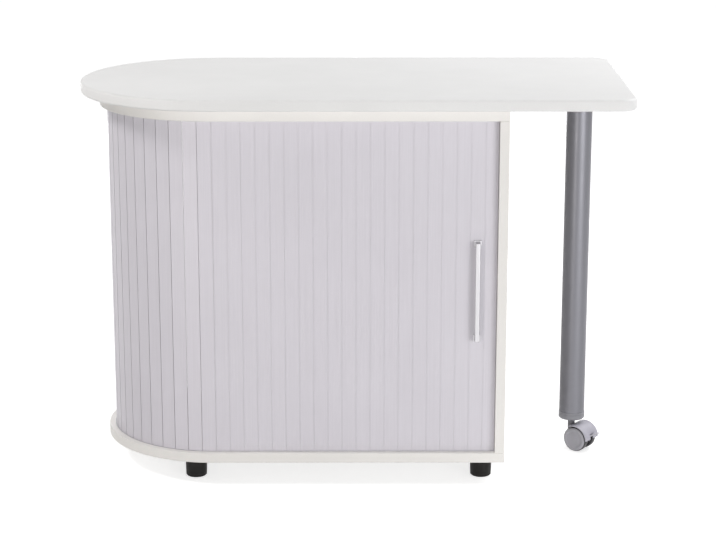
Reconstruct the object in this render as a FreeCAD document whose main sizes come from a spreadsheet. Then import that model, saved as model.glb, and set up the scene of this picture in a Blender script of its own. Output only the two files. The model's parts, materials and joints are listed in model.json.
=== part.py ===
import FreeCAD, Part
import Sketcher
import math
import os

# Tambour desk: a D-plan cabinet closed by a roll-front curtain, under a D-plan table top that swings
# about the centre of the round end and is carried at its far end by a tube leg on a braked caster.
# Frame: +X along the desk towards the leg, -Y to the front, +Z up, origin under the middle of the top.

SLAT_COUNT = 44
SLATS_PER_GROUP = 2

# Driving sizes in millimetres (and degrees for turns and slopes)
SIZES = (
    # Table top
    ("table_length", 1040.0),
    ("table_depth", 508.0),
    ("table_thick", 22.0),
    ("table_height", 750.0),
    ("table_corner", 35.0),
    ("table_arris", 5.0),
    # Cabinet boards
    ("cabinet_length", 774.0),
    ("cabinet_depth", 436.0),
    ("board_thick", 19.0),
    ("board_arris", 1.2),
    ("side_thick", 18.0),
    ("partition_thick", 18.0),
    ("partition_offset", 40.0),
    ("partition_setback", 40.0),
    ("back_thick", 10.0),
    ("back_inset", 38.0),
    ("back_overlap", 64.0),
    ("back_tongue", 5.0),
    ("shelf_thick", 16.0),
    ("shelf_level", 376.0),
    ("shelf_play", 0.5),
    ("dowel_dia", 8.0),
    ("dowel_length", 24.0),
    ("dowel_edge", 60.0),
    ("pin_dia", 5.0),
    ("pin_length", 16.0),
    ("pin_edge", 50.0),
    # Feet
    ("foot_height", 44.0),
    ("foot_top_dia", 43.0),
    ("foot_low_dia", 40.0),
    ("foot_bevel", 2.0),
    ("foot_setback", 59.0),
    ("foot_round_offset", 35.0),
    ("foot_square_inset", 41.0),
    ("foot_floor", 8.0),
    ("foot_screw_dia", 5.0),
    ("foot_screw_bite", 12.0),
    ("foot_head_dia", 10.0),
    ("foot_head_high", 4.0),
    # Curtain and its tracks
    ("slat_inset", 14.0),
    ("slat_thick", 6.0),
    ("slat_gap", 1.4),
    ("slat_taper", 2.2),
    ("slat_clear", 0.3),
    ("lead_width", 19.0),
    ("lead_gap", 5.0),
    ("track_width", 10.0),
    ("track_depth", 6.0),
    ("track_slot", 5.0),
    ("track_floor", 1.5),
    # Pull handle
    ("handle_length", 191.0),
    ("handle_width", 9.0),
    ("handle_drop", 4.0),
    ("handle_thick", 5.0),
    ("handle_reach", 18.0),
    ("handle_leg", 9.0),
    ("handle_round", 2.0),
    ("handle_foot_width", 14.0),
    ("handle_foot_thick", 3.0),
    ("handle_foot_high", 14.0),
    ("handle_screw_dia", 4.0),
    ("handle_screw_bite", 11.0),
    ("handle_head_dia", 8.0),
    ("handle_head_high", 2.5),
    # Swivel between the cabinet and the table
    ("swivel_gap", 5.0),
    ("swivel_play", 0.2),
    ("plate_dia", 140.0),
    ("plate_screw_ring", 110.0),
    ("bush_dia", 40.0),
    ("spigot_dia", 20.0),
    ("washer_dia", 46.0),
    ("washer_thick", 2.5),
    ("bolt_dia", 8.0),
    ("bolt_bite", 16.0),
    ("bolt_head_dia", 13.0),
    ("bolt_head_high", 5.0),
    ("screw_dia", 4.0),
    ("screw_bite", 12.0),
    ("screw_head_dia", 8.0),
    ("screw_head_high", 2.5),
    # Leg, in the open bay between the cabinet's square end and the table's end
    ("leg_bay", 230.0),
    ("leg_inset", 80.0),
    ("leg_dia", 50.0),
    ("leg_wall", 1.5),
    ("leg_plate_dia", 110.0),
    ("leg_plate_thick", 3.0),
    ("leg_plate_plug", 25.0),
    ("leg_screw_ring", 84.0),
    ("cap_dia", 51.5),
    ("cap_height", 14.0),
    ("cap_plug", 30.0),
    ("cap_bevel", 2.0),
    ("cap_ring_level", 10.0),
    ("cap_ring_width", 1.2),
    ("cap_ring_depth", 0.6),
    # Caster
    ("caster_height", 63.0),
    ("caster_trail", 20.0),
    ("caster_turn", 36.87),
    ("stem_dia", 11.0),
    ("stem_rise", 36.0),
    ("stem_drop", 32.0),
    ("boss_dia", 14.0),
    ("wheel_dia", 50.0),
    ("wheel_width", 16.0),
    ("wheel_space", 15.0),
    ("wheel_bevel", 4.0),
    ("wheel_rim", 7.0),
    ("wheel_dish", 1.2),
    ("axle_dia", 6.0),
    ("axle_bite", 12.0),
    ("web_dia", 40.0),
    ("hood_gap", 1.5),
    ("hood_thick", 2.6),
    ("cheek_thick", 1.4),
    ("brake_pin_dia", 3.0),
    ("brake_pin_offset", 23.6),
    ("brake_pin_slope", 15.0),
    ("lever_barrel_dia", 6.2),
    ("lever_length", 23.0),
    ("lever_thick", 2.4),
    ("lever_slope", 26.0),
    # Clearances: pins and screws in their holes, and parts that only stand beside each other
    ("fit_gap", 0.05),
    ("slip_gap", 0.3),
    ("side_gap", 0.5),
    ("hole_extra", 1.0),
)

# Angles of the caster's hood about the axle, from the trailing side upwards
HOOD_START = 3.0
HOOD_END = 115.0
BRIDGE_START = 34.0
CHEEK_START = -6.0

doc = FreeCAD.newDocument("TambourDesk")
sheet = doc.addObject("Spreadsheet::Sheet", "Sizes")
for row, (alias, value) in enumerate(SIZES, 1):
    sheet.set("A%d" % row, alias)
    sheet.set("B%d" % row, str(value))
    sheet.setAlias("B%d" % row, alias)
doc.recompute()

parts = []


class Size:
    """A length with the sheet expression that gives it."""

    def __init__(self, text, value):
        self.text = text
        self.value = float(value)

    def __add__(self, other):
        other = as_size(other)
        return Size("(%s + %s)" % (self.text, other.text), self.value + other.value)

    def __radd__(self, other):
        return as_size(other) + self

    def __sub__(self, other):
        other = as_size(other)
        return Size("(%s - %s)" % (self.text, other.text), self.value - other.value)

    def __rsub__(self, other):
        return as_size(other) - self

    def __mul__(self, other):
        other = as_size(other)
        return Size("(%s * %s)" % (self.text, other.text), self.value * other.value)

    def __rmul__(self, other):
        return as_size(other) * self

    def __truediv__(self, other):
        other = as_size(other)
        return Size("(%s / %s)" % (self.text, other.text), self.value / other.value)

    def __neg__(self):
        return Size("(0 - %s)" % self.text, -self.value)


def as_size(value):
    if isinstance(value, Size):
        return value
    return Size("(%.9f)" % value, value)


def size(alias):
    return Size("Sizes." + alias, sheet.get(alias))


def sine(angle):
    return Size("sin(%s)" % angle.text, math.sin(math.radians(angle.value)))


def cosine(angle):
    return Size("cos(%s)" % angle.text, math.cos(math.radians(angle.value)))


def bind(item, prop, value):
    item.setExpression(prop, as_size(value).text)


def place(item, x=0.0, y=0.0, z=0.0, turn=None):
    if turn is not None:
        item.Placement = FreeCAD.Placement(FreeCAD.Vector(0, 0, 0), turn)
    bind(item, "Placement.Base.x", x)
    bind(item, "Placement.Base.y", y)
    bind(item, "Placement.Base.z", z)
    return item


def keep(item, label):
    item.Label = label
    parts.append(item)
    return item


X_AXIS = FreeCAD.Vector(1, 0, 0)
Y_AXIS = FreeCAD.Vector(0, 1, 0)
Z_AXIS = FreeCAD.Vector(0, 0, 1)


def turned(axis, degrees):
    return FreeCAD.Rotation(axis, degrees)


# Part primitives bound to the sheet

def box(name, length, width, height, x=0.0, y=0.0, z=0.0):
    item = doc.addObject("Part::Box", name)
    bind(item, "Length", length)
    bind(item, "Width", width)
    bind(item, "Height", height)
    return place(item, x, y, z)


def cylinder(name, radius, height, x=0.0, y=0.0, z=0.0, turn=None):
    item = doc.addObject("Part::Cylinder", name)
    bind(item, "Radius", radius)
    bind(item, "Height", height)
    return place(item, x, y, z, turn)


def cone(name, low_radius, high_radius, height, x=0.0, y=0.0, z=0.0):
    item = doc.addObject("Part::Cone", name)
    bind(item, "Radius1", low_radius)
    bind(item, "Radius2", high_radius)
    bind(item, "Height", height)
    return place(item, x, y, z)


def fuse(name, items):
    item = doc.addObject("Part::MultiFuse", name)
    item.Shapes = items
    return item


def cut(name, base, tool):
    item = doc.addObject("Part::Cut", name)
    item.Base = base
    item.Tool = tool
    return item


def group(name, items):
    item = doc.addObject("Part::Compound", name)
    item.Links = items
    return item


# Bodies with sketches

def new_body(name):
    return doc.addObject("PartDesign::Body", name)


def new_sketch(body, name, role="XY_Plane", level=None):
    sketch = body.newObject("Sketcher::SketchObject", name)
    plane = [item for item in body.Origin.OriginFeatures if item.Role == role][0]
    sketch.AttachmentSupport = [(plane, "")]
    sketch.MapMode = "FlatFace"
    if level is not None:
        bind(sketch, "AttachmentOffset.Base.z", level)
    return sketch


def join(sketch, first, first_end, second, second_end):
    sketch.addConstraint(Sketcher.Constraint("Coincident", first, first_end, second, second_end))


def set_x(sketch, line, end, x):
    if not isinstance(x, Size) and x == 0:
        sketch.addConstraint(Sketcher.Constraint("PointOnObject", line, end, -2))
        return
    x = as_size(x)
    number = sketch.addConstraint(Sketcher.Constraint("DistanceX", -1, 1, line, end, x.value))
    sketch.setExpression("Constraints[%d]" % number, x.text)


def set_y(sketch, line, end, y):
    if not isinstance(y, Size) and y == 0:
        sketch.addConstraint(Sketcher.Constraint("PointOnObject", line, end, -1))
        return
    y = as_size(y)
    number = sketch.addConstraint(Sketcher.Constraint("DistanceY", -1, 1, line, end, y.value))
    sketch.setExpression("Constraints[%d]" % number, y.text)


def set_radius(sketch, curve, radius):
    number = sketch.addConstraint(Sketcher.Constraint("Radius", curve, radius.value))
    sketch.setExpression("Constraints[%d]" % number, radius.text)


def segment(sketch, x0, y0, x1, y1):
    start = FreeCAD.Vector(x0, y0, 0)
    end = FreeCAD.Vector(x1, y1, 0)
    return sketch.addGeometry(Part.LineSegment(start, end), False)


def half_circle(sketch, radius):
    """The left half of a circle about the sketch's origin."""
    circle = Part.Circle(FreeCAD.Vector(0, 0, 0), Z_AXIS, radius.value)
    curve = sketch.addGeometry(Part.ArcOfCircle(circle, math.pi / 2, 3 * math.pi / 2), False)
    join(sketch, curve, 3, -1, 1)
    set_radius(sketch, curve, radius)
    return curve


def across(sketch, *lines):
    for line in lines:
        sketch.addConstraint(Sketcher.Constraint("Horizontal", line))


def upright(sketch, *lines):
    for line in lines:
        sketch.addConstraint(Sketcher.Constraint("Vertical", line))


def d_outline(sketch, radius, right):
    """A round left end about the origin, straight sides and a square right end."""
    r, x = radius.value, right.value
    front = segment(sketch, 0, -r, x, -r)
    end = segment(sketch, x, -r, x, r)
    back = segment(sketch, x, r, 0, r)
    curve = half_circle(sketch, radius)
    join(sketch, front, 2, end, 1)
    join(sketch, end, 2, back, 1)
    join(sketch, back, 2, curve, 1)
    join(sketch, curve, 2, front, 1)
    set_x(sketch, front, 1, 0)
    set_x(sketch, back, 2, 0)
    across(sketch, front, back)
    upright(sketch, end)
    set_x(sketch, end, 1, right)


def u_band(sketch, outer, inner, right):
    """A band of even width along the front, round the end and along the back."""
    ro, ri, x = outer.value, inner.value, right.value
    front = segment(sketch, x, -ro, 0, -ro)
    curve = half_circle(sketch, outer)
    back = segment(sketch, 0, ro, x, ro)
    back_cap = segment(sketch, x, ro, x, ri)
    back_in = segment(sketch, x, ri, 0, ri)
    curve_in = half_circle(sketch, inner)
    front_in = segment(sketch, 0, -ri, x, -ri)
    front_cap = segment(sketch, x, -ri, x, -ro)
    join(sketch, front, 2, curve, 2)
    join(sketch, curve, 1, back, 1)
    join(sketch, back, 2, back_cap, 1)
    join(sketch, back_cap, 2, back_in, 1)
    join(sketch, back_in, 2, curve_in, 1)
    join(sketch, curve_in, 2, front_in, 1)
    join(sketch, front_in, 2, front_cap, 1)
    join(sketch, front_cap, 2, front, 1)
    across(sketch, front, back, back_in, front_in)
    upright(sketch, back_cap, front_cap)
    set_x(sketch, front, 2, 0)
    set_x(sketch, back, 1, 0)
    set_x(sketch, back_in, 2, 0)
    set_x(sketch, front_in, 1, 0)
    set_x(sketch, front, 1, right)
    set_x(sketch, back_cap, 1, right)


def rectangle(sketch, x0, x1, y0, y1):
    a, b, c, d = as_size(x0).value, as_size(x1).value, as_size(y0).value, as_size(y1).value
    low = segment(sketch, a, c, b, c)
    right = segment(sketch, b, c, b, d)
    high = segment(sketch, b, d, a, d)
    left = segment(sketch, a, d, a, c)
    join(sketch, low, 2, right, 1)
    join(sketch, right, 2, high, 1)
    join(sketch, high, 2, left, 1)
    join(sketch, left, 2, low, 1)
    across(sketch, low, high)
    upright(sketch, right, left)
    set_x(sketch, left, 1, x0)
    set_x(sketch, right, 1, x1)
    set_y(sketch, low, 1, y0)
    set_y(sketch, high, 1, y1)


def polygon(sketch, points):
    values = [(as_size(x).value, as_size(y).value) for x, y in points]
    lines = []
    for start, end in zip(values, values[1:] + values[:1]):
        lines.append(segment(sketch, start[0], start[1], end[0], end[1]))
    for line, after in zip(lines, lines[1:] + lines[:1]):
        join(sketch, line, 2, after, 1)
    for line, (x, y) in zip(lines, points):
        set_x(sketch, line, 1, x)
        set_y(sketch, line, 1, y)


def circles(sketch, centres, radius):
    for x, y in centres:
        centre = FreeCAD.Vector(as_size(x).value, as_size(y).value, 0)
        curve = sketch.addGeometry(Part.Circle(centre, Z_AXIS, radius.value), False)
        set_x(sketch, curve, 3, x)
        set_y(sketch, curve, 3, y)
        set_radius(sketch, curve, radius)


def pad(body, name, sketch, length, symmetric=False):
    feature = body.newObject("PartDesign::Pad", name)
    feature.Profile = sketch
    bind(feature, "Length", length)
    if symmetric:
        feature.SideType = "Symmetric"
    return feature


def pocket(body, name, sketch, depth, upward=False):
    """Removes material below the sketch, or above it, and makes sure that some was there."""
    doc.recompute()
    before = body.Shape.Volume
    feature = body.newObject("PartDesign::Pocket", name)
    feature.Profile = sketch
    bind(feature, "Length", depth)
    feature.Reversed = upward
    doc.recompute()
    if not body.Shape.Volume < before - 1e-3:
        raise RuntimeError("%s cuts nothing" % name)
    return feature


def lathe(body, name, points):
    """Turns a closed outline of (radius, level) points about the upright axis."""
    sketch = new_sketch(body, name + "Outline", "XZ_Plane")
    polygon(sketch, points)
    feature = body.newObject("PartDesign::Revolution", name)
    feature.Profile = sketch
    feature.ReferenceAxis = (sketch, ["V_Axis"])
    feature.Angle = 360.0
    return feature


def edges_of(feature, wanted):
    return ["Edge%d" % (n + 1) for n, edge in enumerate(feature.Shape.Edges) if wanted(edge)]


def round_edges(body, name, feature, wanted, radius):
    doc.recompute()
    rounded = body.newObject("PartDesign::Fillet", name)
    rounded.Base = (feature, edges_of(feature, wanted))
    bind(rounded, "Radius", radius)
    return rounded


def level_edge(*levels):
    """Edges that lie flat at one of the given levels."""
    def wanted(edge):
        bounds = edge.BoundBox
        return any(abs(bounds.ZMin - z) < 1e-4 and abs(bounds.ZMax - z) < 1e-4 for z in levels)
    return wanted


# Values that several pieces share
fit = size("fit_gap")
slip = size("slip_gap")
extra = size("hole_extra")

# The cabinet stands a leg bay short of the table's square end, and the table swings about the centre of
# the cabinet's round end; with these sizes that is the centre of the table's round end too.
table_radius = size("table_depth") / 2
table_end = size("table_length") / 2
table_centre_x = table_radius - table_end
table_right = size("table_length") - table_radius
table_low = size("table_height") - size("table_thick")

board = size("board_thick")
cabinet_radius = size("cabinet_depth") / 2
cabinet_right = size("cabinet_length") - cabinet_radius
pivot_x = table_end - size("leg_bay") - cabinet_right
base_low = size("foot_height")
base_top = base_low + board
lid_top = table_low - size("swivel_gap")
lid_low = lid_top - board
inside_high = lid_low - base_top
side_in = cabinet_right - size("side_thick")

back_out = cabinet_radius - size("back_inset")
back_in = back_out - size("back_thick")
partition_left = size("partition_offset")
partition_right = partition_left + size("partition_thick")
back_left = partition_left - size("back_overlap")
inner_front = -(cabinet_radius - size("partition_setback"))

slat_face = cabinet_radius - size("slat_inset")
slat_middle = slat_face - size("slat_thick") / 2
curtain_front = side_in - size("lead_gap")

dowel_hole = size("dowel_dia") / 2 + fit
dowel_deep = size("dowel_length") / 2 + extra / 2
dowel_side_x = cabinet_right - size("side_thick") / 2
dowel_partition_x = partition_left + size("partition_thick") / 2
dowel_reach = cabinet_radius - size("dowel_edge")
dowel_inner = -inner_front - size("dowel_edge")
DOWEL_SPOTS = (
    (dowel_side_x, -dowel_reach),
    (dowel_side_x, 0),
    (dowel_side_x, dowel_reach),
    (dowel_partition_x, -dowel_inner),
    (dowel_partition_x, dowel_inner),
)

foot_y = cabinet_radius - size("foot_setback")
foot_left_x = -size("foot_round_offset")
foot_right_x = cabinet_right - size("foot_square_inset")
FEET = (
    ("front_left", foot_left_x, -foot_y),
    ("front_right", foot_right_x, -foot_y),
    ("back_left", foot_left_x, foot_y),
    ("back_right", foot_right_x, foot_y),
)

plate_thick = (size("swivel_gap") - size("swivel_play")) / 2
plate_ring = size("plate_screw_ring") / 2 * math.sqrt(0.5)
PLATE_SPOTS = tuple((x * plate_ring, y * plate_ring) for x in (-1, 1) for y in (-1, 1))
screw_hole = size("screw_dia") / 2 + fit
screw_deep = size("screw_bite") + extra

leg_x = table_end - size("leg_inset")
leg_ring = size("leg_screw_ring") / 2 * math.sqrt(0.5)
LEG_SPOTS = tuple((x * leg_ring, y * leg_ring) for x in (-1, 1) for y in (-1, 1))


# Base board: curtain groove, back groove and dowel holes from above, foot screw holes from below

def d_board(name):
    body = new_body(name)
    outline = new_sketch(body, name + "Outline")
    d_outline(outline, cabinet_radius, cabinet_right)
    plate = pad(body, name + "Pad", outline, board)
    round_edges(body, name + "Arris", plate, level_edge(0.0, board.value), size("board_arris"))
    return body


def inner_grooves(body, name, level, upward):
    groove = new_sketch(body, name + "TrackLine", level=level)
    half = size("track_width") / 2 + slip
    u_band(groove, slat_middle + half, slat_middle - half, side_in)
    pocket(body, name + "TrackGroove", groove, size("track_depth"), upward)
    slot = new_sketch(body, name + "BackLine", level=level)
    rectangle(slot, back_left, side_in, back_in, back_out)
    pocket(body, name + "BackGroove", slot, size("back_tongue"), upward)
    holes = new_sketch(body, name + "DowelSpots", level=level)
    circles(holes, DOWEL_SPOTS, dowel_hole)
    pocket(body, name + "DowelHoles", holes, dowel_deep, upward)


base = d_board("Base")
inner_grooves(base, "Base", board, False)
foot_holes = new_sketch(base, "BaseFootSpots")
circles(foot_holes, [(x, y) for _, x, y in FEET], size("foot_screw_dia") / 2 + fit)
pocket(base, "BaseFootHoles", foot_holes, size("foot_screw_bite") + extra, True)
keep(place(base, pivot_x, 0.0, base_low), "base_board")

# Top board: the same grooves from below, the swivel bush and its screws from above
lid = d_board("Lid")
inner_grooves(lid, "Lid", 0.0, True)
bush_hole = new_sketch(lid, "LidBushSpot", level=board)
circles(bush_hole, [(0, 0)], size("bush_dia") / 2 + fit)
pocket(lid, "LidBushHole", bush_hole, board + extra)
lid_screws = new_sketch(lid, "LidScrewSpots", level=board)
circles(lid_screws, PLATE_SPOTS, screw_hole)
pocket(lid, "LidScrewHoles", lid_screws, screw_deep)
keep(place(lid, pivot_x, 0.0, lid_low), "cabinet_top_board")


# Upright panels, with dowel holes in both ends and shelf pin holes in the faces that carry the shelf

def dowel_tools(name, spots):
    tools = []
    for number, (x, y) in enumerate(spots):
        low = cylinder("%sDowelLow%d" % (name, number), dowel_hole, dowel_deep + extra,
                       pivot_x + x, y, base_top - extra)
        high = cylinder("%sDowelHigh%d" % (name, number), dowel_hole, dowel_deep + extra,
                        pivot_x + x, y, lid_low - dowel_deep)
        tools += [low, high]
    return tools


pin_half = size("pin_length") / 2
pin_level = size("shelf_level") - size("pin_dia") / 2 - fit
pin_front = inner_front + size("pin_edge")
pin_back = back_in - size("pin_edge")
along_x = turned(Y_AXIS, 90)


def pin_tools(name, face, inward):
    """Holes that go from a panel's face into the panel; inward is the way out of the hole along X."""
    start = face - pin_half - extra / 2 if inward > 0 else face - extra
    deep = pin_half + extra / 2 + extra
    tools = []
    for number, y in enumerate((pin_front, pin_back)):
        tools.append(cylinder("%sPinHole%d" % (name, number), size("pin_dia") / 2 + fit, deep,
                              pivot_x + start, y, pin_level, along_x))
    return tools


side_blank = box("SideBlank", size("side_thick"), size("cabinet_depth"), inside_high,
                 pivot_x + side_in, -cabinet_radius, base_top)
side_tools = dowel_tools("Side", DOWEL_SPOTS[:3]) + pin_tools("Side", side_in, -1)
keep(cut("SidePanel", side_blank, group("SideTools", side_tools)), "side_panel")

partition_blank = box("PartitionBlank", size("partition_thick"), back_in - inner_front, inside_high,
                      pivot_x + partition_left, inner_front, base_top)
partition_tools = dowel_tools("Partition", DOWEL_SPOTS[3:]) + pin_tools("Partition", partition_right, 1)
keep(cut("Partition", partition_blank, group("PartitionTools", partition_tools)), "partition")

back = box("BackPanel", side_in - back_left, size("back_thick"),
           inside_high + size("back_tongue") * 2,
           pivot_x + back_left, back_in, base_top - size("back_tongue"))
keep(back, "back_panel")

# Dowels that join the uprights to the base and top boards
dowels = []
for number, (x, y) in enumerate(DOWEL_SPOTS):
    for end, level in (("Low", base_top), ("High", lid_low)):
        dowels.append(cylinder("Dowel%s%d" % (end, number), size("dowel_dia") / 2, size("dowel_length"),
                               pivot_x + x, y, level - size("dowel_length") / 2))
keep(group("Dowels", dowels), "carcass_dowels")

# Shelf on four pins
shelf = box("Shelf", side_in - partition_right - size("shelf_play") * 2,
            back_in - inner_front - size("shelf_play"), size("shelf_thick"),
            pivot_x + partition_right + size("shelf_play"), inner_front, size("shelf_level"))
keep(shelf, "shelf")
pins = []
for name, face in (("Left", partition_right), ("Right", side_in)):
    for number, y in enumerate((pin_front, pin_back)):
        pins.append(cylinder("Pin%s%d" % (name, number), size("pin_dia") / 2, size("pin_length"),
                             pivot_x + face - pin_half, y, pin_level, along_x))
keep(group("ShelfPins", pins), "shelf_pins")


# Curtain tracks: slotted strips let into the base and top boards

def track(name, slot_up):
    body = new_body(name)
    half = size("track_width") / 2
    strip = new_sketch(body, name + "Strip")
    u_band(strip, slat_middle + half, slat_middle - half, side_in - slip)
    pad(body, name + "Pad", strip, size("track_depth"))
    level = size("track_depth") if slot_up else None
    slot = new_sketch(body, name + "Slot", level=level)
    narrow = size("track_slot") / 2
    u_band(slot, slat_middle + narrow, slat_middle - narrow, side_in - slip - size("track_floor"))
    pocket(body, name + "SlotCut", slot, size("track_depth") - size("track_floor"), not slot_up)
    return body


keep(place(track("LowTrack", True), pivot_x, 0.0, base_top - size("track_depth")), "lower_track")
keep(place(track("HighTrack", False), pivot_x, 0.0, lid_low), "upper_track")

# Feet with a counterbore for their screws
shank = size("foot_screw_dia") / 2
counterbore = size("foot_head_dia") / 2 + size("side_gap")
seat_level = size("foot_height") - size("foot_floor")
for spot, x, y in FEET:
    name = "Foot" + spot.title().replace("_", "")
    foot = new_body(name)
    low = size("foot_low_dia") / 2
    lathe(foot, name + "Turned", [
        (counterbore, 0),
        (low - size("foot_bevel"), 0),
        (low, size("foot_bevel")),
        (size("foot_top_dia") / 2, size("foot_height")),
        (shank + fit, size("foot_height")),
        (shank + fit, seat_level),
        (counterbore, seat_level),
    ])
    keep(place(foot, pivot_x + x, y, 0.0), "foot_" + spot)

foot_screws = []
for spot, x, y in FEET:
    name = "FootScrew" + spot.title().replace("_", "")
    head = cylinder(name + "Head", size("foot_head_dia") / 2, size("foot_head_high"),
                    pivot_x + x, y, seat_level - size("foot_head_high"))
    stem = cylinder(name + "Shank", shank, size("foot_floor") + size("foot_screw_bite"),
                    pivot_x + x, y, seat_level)
    foot_screws.append(fuse(name, [head, stem]))
keep(group("FootScrews", foot_screws), "foot_screws")


# Curtain: slats spaced evenly from the lead edge, along the front and round the end

slat_high = inside_high - size("slat_clear") * 2
straight_run = curtain_front - size("lead_width")
pitch = (straight_run + math.pi * slat_middle) / (SLAT_COUNT - 1)
slat_half = (pitch - size("slat_gap")) / 2
lead_half = (size("lead_width") - size("slat_gap") / 2) / 2


def slat(number):
    """One slat as a tapered strip, its wide face outwards, standing at its place along the curtain."""
    item = doc.addObject("Part::Wedge", "Slat%02d" % number)
    half = lead_half if number == 1 else slat_half
    bind(item, "Xmin", -half)
    bind(item, "Xmax", half)
    bind(item, "X2min", size("slat_taper") - half)
    bind(item, "X2max", half - size("slat_taper"))
    bind(item, "Ymin", 0.0)
    bind(item, "Ymax", size("slat_thick"))
    for low, high in (("Zmin", "Zmax"), ("Z2min", "Z2max")):
        bind(item, low, 0.0)
        bind(item, high, slat_high)
    level = base_top + size("slat_clear")
    if number == 1:
        return place(item, pivot_x + curtain_front - lead_half, -slat_face, level)
    along = pitch * (number - 1.5)
    if along.value <= straight_run.value:
        return place(item, pivot_x + straight_run - along, -slat_face, level)
    turn = (along - straight_run) / slat_middle * (180 / math.pi)
    return place(item, pivot_x - slat_face * sine(turn), -(slat_face * cosine(turn)), level,
                 turned(Z_AXIS, -turn.value))


handle_x = curtain_front - size("lead_width") - pitch / 2
handle_low = base_top + (inside_high - size("handle_length")) / 2 - size("handle_drop")
handle_high = handle_low + size("handle_length")
handle_ends = (handle_low + size("handle_leg") / 2, handle_high - size("handle_leg") / 2)
along_y = turned(X_AXIS, -90)

for first in range(1, SLAT_COUNT + 1, SLATS_PER_GROUP):
    numbers = range(first, min(first + SLATS_PER_GROUP, SLAT_COUNT + 1))
    slats = []
    for number in numbers:
        item = slat(number)
        if number == 2:
            holes = []
            for end, level in enumerate(handle_ends):
                holes.append(cylinder("HandleHole%d" % end, size("handle_screw_dia") / 2 + fit,
                                      size("slat_thick") + extra * 2, pivot_x + handle_x,
                                      -slat_face - extra, level, along_y))
            item = cut("Slat02Drilled", item, group("HandleHoles", holes))
        slats.append(item)
    keep(group("Slats%02d" % first, slats), "slats_" + "_".join("%02d" % n for n in numbers))

# Pull handle: one bow with a wider foot at each end, screwed from inside through the second slat
bow = new_body("Handle")
outline = new_sketch(bow, "HandleOutline", "YZ_Plane")
grip = size("handle_reach") - size("handle_thick")
span = size("handle_length")
polygon(outline, [
    (0, 0),
    (-size("handle_reach"), 0),
    (-size("handle_reach"), span),
    (0, span),
    (0, span - size("handle_leg")),
    (-grip, span - size("handle_leg")),
    (-grip, size("handle_leg")),
    (0, size("handle_leg")),
])
strip = pad(bow, "HandleStrip", outline, size("handle_width"), True)


def outer_grip_edge(edge):
    bounds = edge.BoundBox
    outward = -size("handle_reach").value
    return abs(bounds.YMin - outward) < 1e-4 and abs(bounds.YMax - outward) < 1e-4


rounded = round_edges(bow, "HandleRound", strip, outer_grip_edge, size("handle_round"))
feet = new_sketch(bow, "HandleFeet", "XZ_Plane")
foot_half = size("handle_foot_width") / 2
rectangle(feet, -foot_half, foot_half, (size("handle_leg") - size("handle_foot_high")) / 2,
          (size("handle_leg") + size("handle_foot_high")) / 2)
rectangle(feet, -foot_half, foot_half, span - (size("handle_leg") + size("handle_foot_high")) / 2,
          span - (size("handle_leg") - size("handle_foot_high")) / 2)
pad(bow, "HandleFootPad", feet, size("handle_foot_thick"))
screw_spots = new_sketch(bow, "HandleScrewSpots", "XZ_Plane")
circles(screw_spots, [(0, size("handle_leg") / 2), (0, span - size("handle_leg") / 2)],
        size("handle_screw_dia") / 2 + fit)
pocket(bow, "HandleScrewHoles", screw_spots, size("handle_screw_bite") + extra, True)
keep(place(bow, pivot_x + handle_x, -slat_face, handle_low), "handle")

handle_screws = []
slat_back = -slat_face + size("slat_thick")
for end, level in enumerate(handle_ends):
    stem = cylinder("HandleShank%d" % end, size("handle_screw_dia") / 2,
                    size("slat_thick") + size("handle_screw_bite"), pivot_x + handle_x,
                    -slat_face - size("handle_screw_bite"), level, along_y)
    head = cylinder("HandleHead%d" % end, size("handle_head_dia") / 2, size("handle_head_high"),
                    pivot_x + handle_x, slat_back, level, along_y)
    handle_screws.append(fuse("HandleScrew%d" % end, [stem, head]))
keep(group("HandleScrews", handle_screws), "handle_screws")


# Swivel: a bushed plate on the cabinet, a plate with a spigot under the table, countersunk screws in both

def sunk_screws(name, level, up, gap):
    """Countersunk screws, or with a gap the holes for them; the heads fill the plate's thickness."""
    items = []
    head = size("screw_head_dia") / 2 + gap
    hole = size("screw_dia") / 2 + gap
    reach = size("screw_bite")
    for number, (x, y) in enumerate(PLATE_SPOTS):
        tag = "%s%d" % (name, number)
        if up:
            sunk = cone(tag + "Head", head, hole, plate_thick, pivot_x + x, y, level)
            stem = cylinder(tag + "Shank", hole, reach, pivot_x + x, y, level + plate_thick)
        else:
            sunk = cone(tag + "Head", hole, head, plate_thick, pivot_x + x, y, level)
            stem = cylinder(tag + "Shank", hole, reach, pivot_x + x, y, level - reach)
        items.append(fuse(tag, [sunk, stem]))
    return group(name, items)


bore = size("spigot_dia") / 2 + fit
bushed = new_body("BushPlateBlank")
lathe(bushed, "BushPlateTurned", [
    (bore, -board),
    (size("bush_dia") / 2, -board),
    (size("bush_dia") / 2, 0),
    (size("plate_dia") / 2, 0),
    (size("plate_dia") / 2, plate_thick),
    (bore, plate_thick),
])
place(bushed, pivot_x, 0.0, lid_top)
keep(cut("BushPlate", bushed, sunk_screws("BushPlateHoles", lid_top, False, fit)), "swivel_plate_lower")
keep(sunk_screws("BushPlateScrews", lid_top, False, 0.0), "swivel_screws_lower")

upper_low = table_low - plate_thick
spigot_low = lid_low - slip
bolt_hole = size("bolt_dia") / 2 + fit
drop = upper_low - spigot_low
bolt_deep = size("bolt_bite") + extra
pivot = new_body("PivotPlateBlank")
lathe(pivot, "PivotPlateTurned", [
    (bolt_hole, -drop),
    (size("spigot_dia") / 2, -drop),
    (size("spigot_dia") / 2, 0),
    (size("plate_dia") / 2, 0),
    (size("plate_dia") / 2, plate_thick),
    (0, plate_thick),
    (0, bolt_deep - drop),
    (bolt_hole, bolt_deep - drop),
])
place(pivot, pivot_x, 0.0, upper_low)
keep(cut("PivotPlate", pivot, sunk_screws("PivotPlateHoles", upper_low, True, fit)), "swivel_plate_upper")
keep(sunk_screws("PivotPlateScrews", upper_low, True, 0.0), "swivel_screws_upper")

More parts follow.
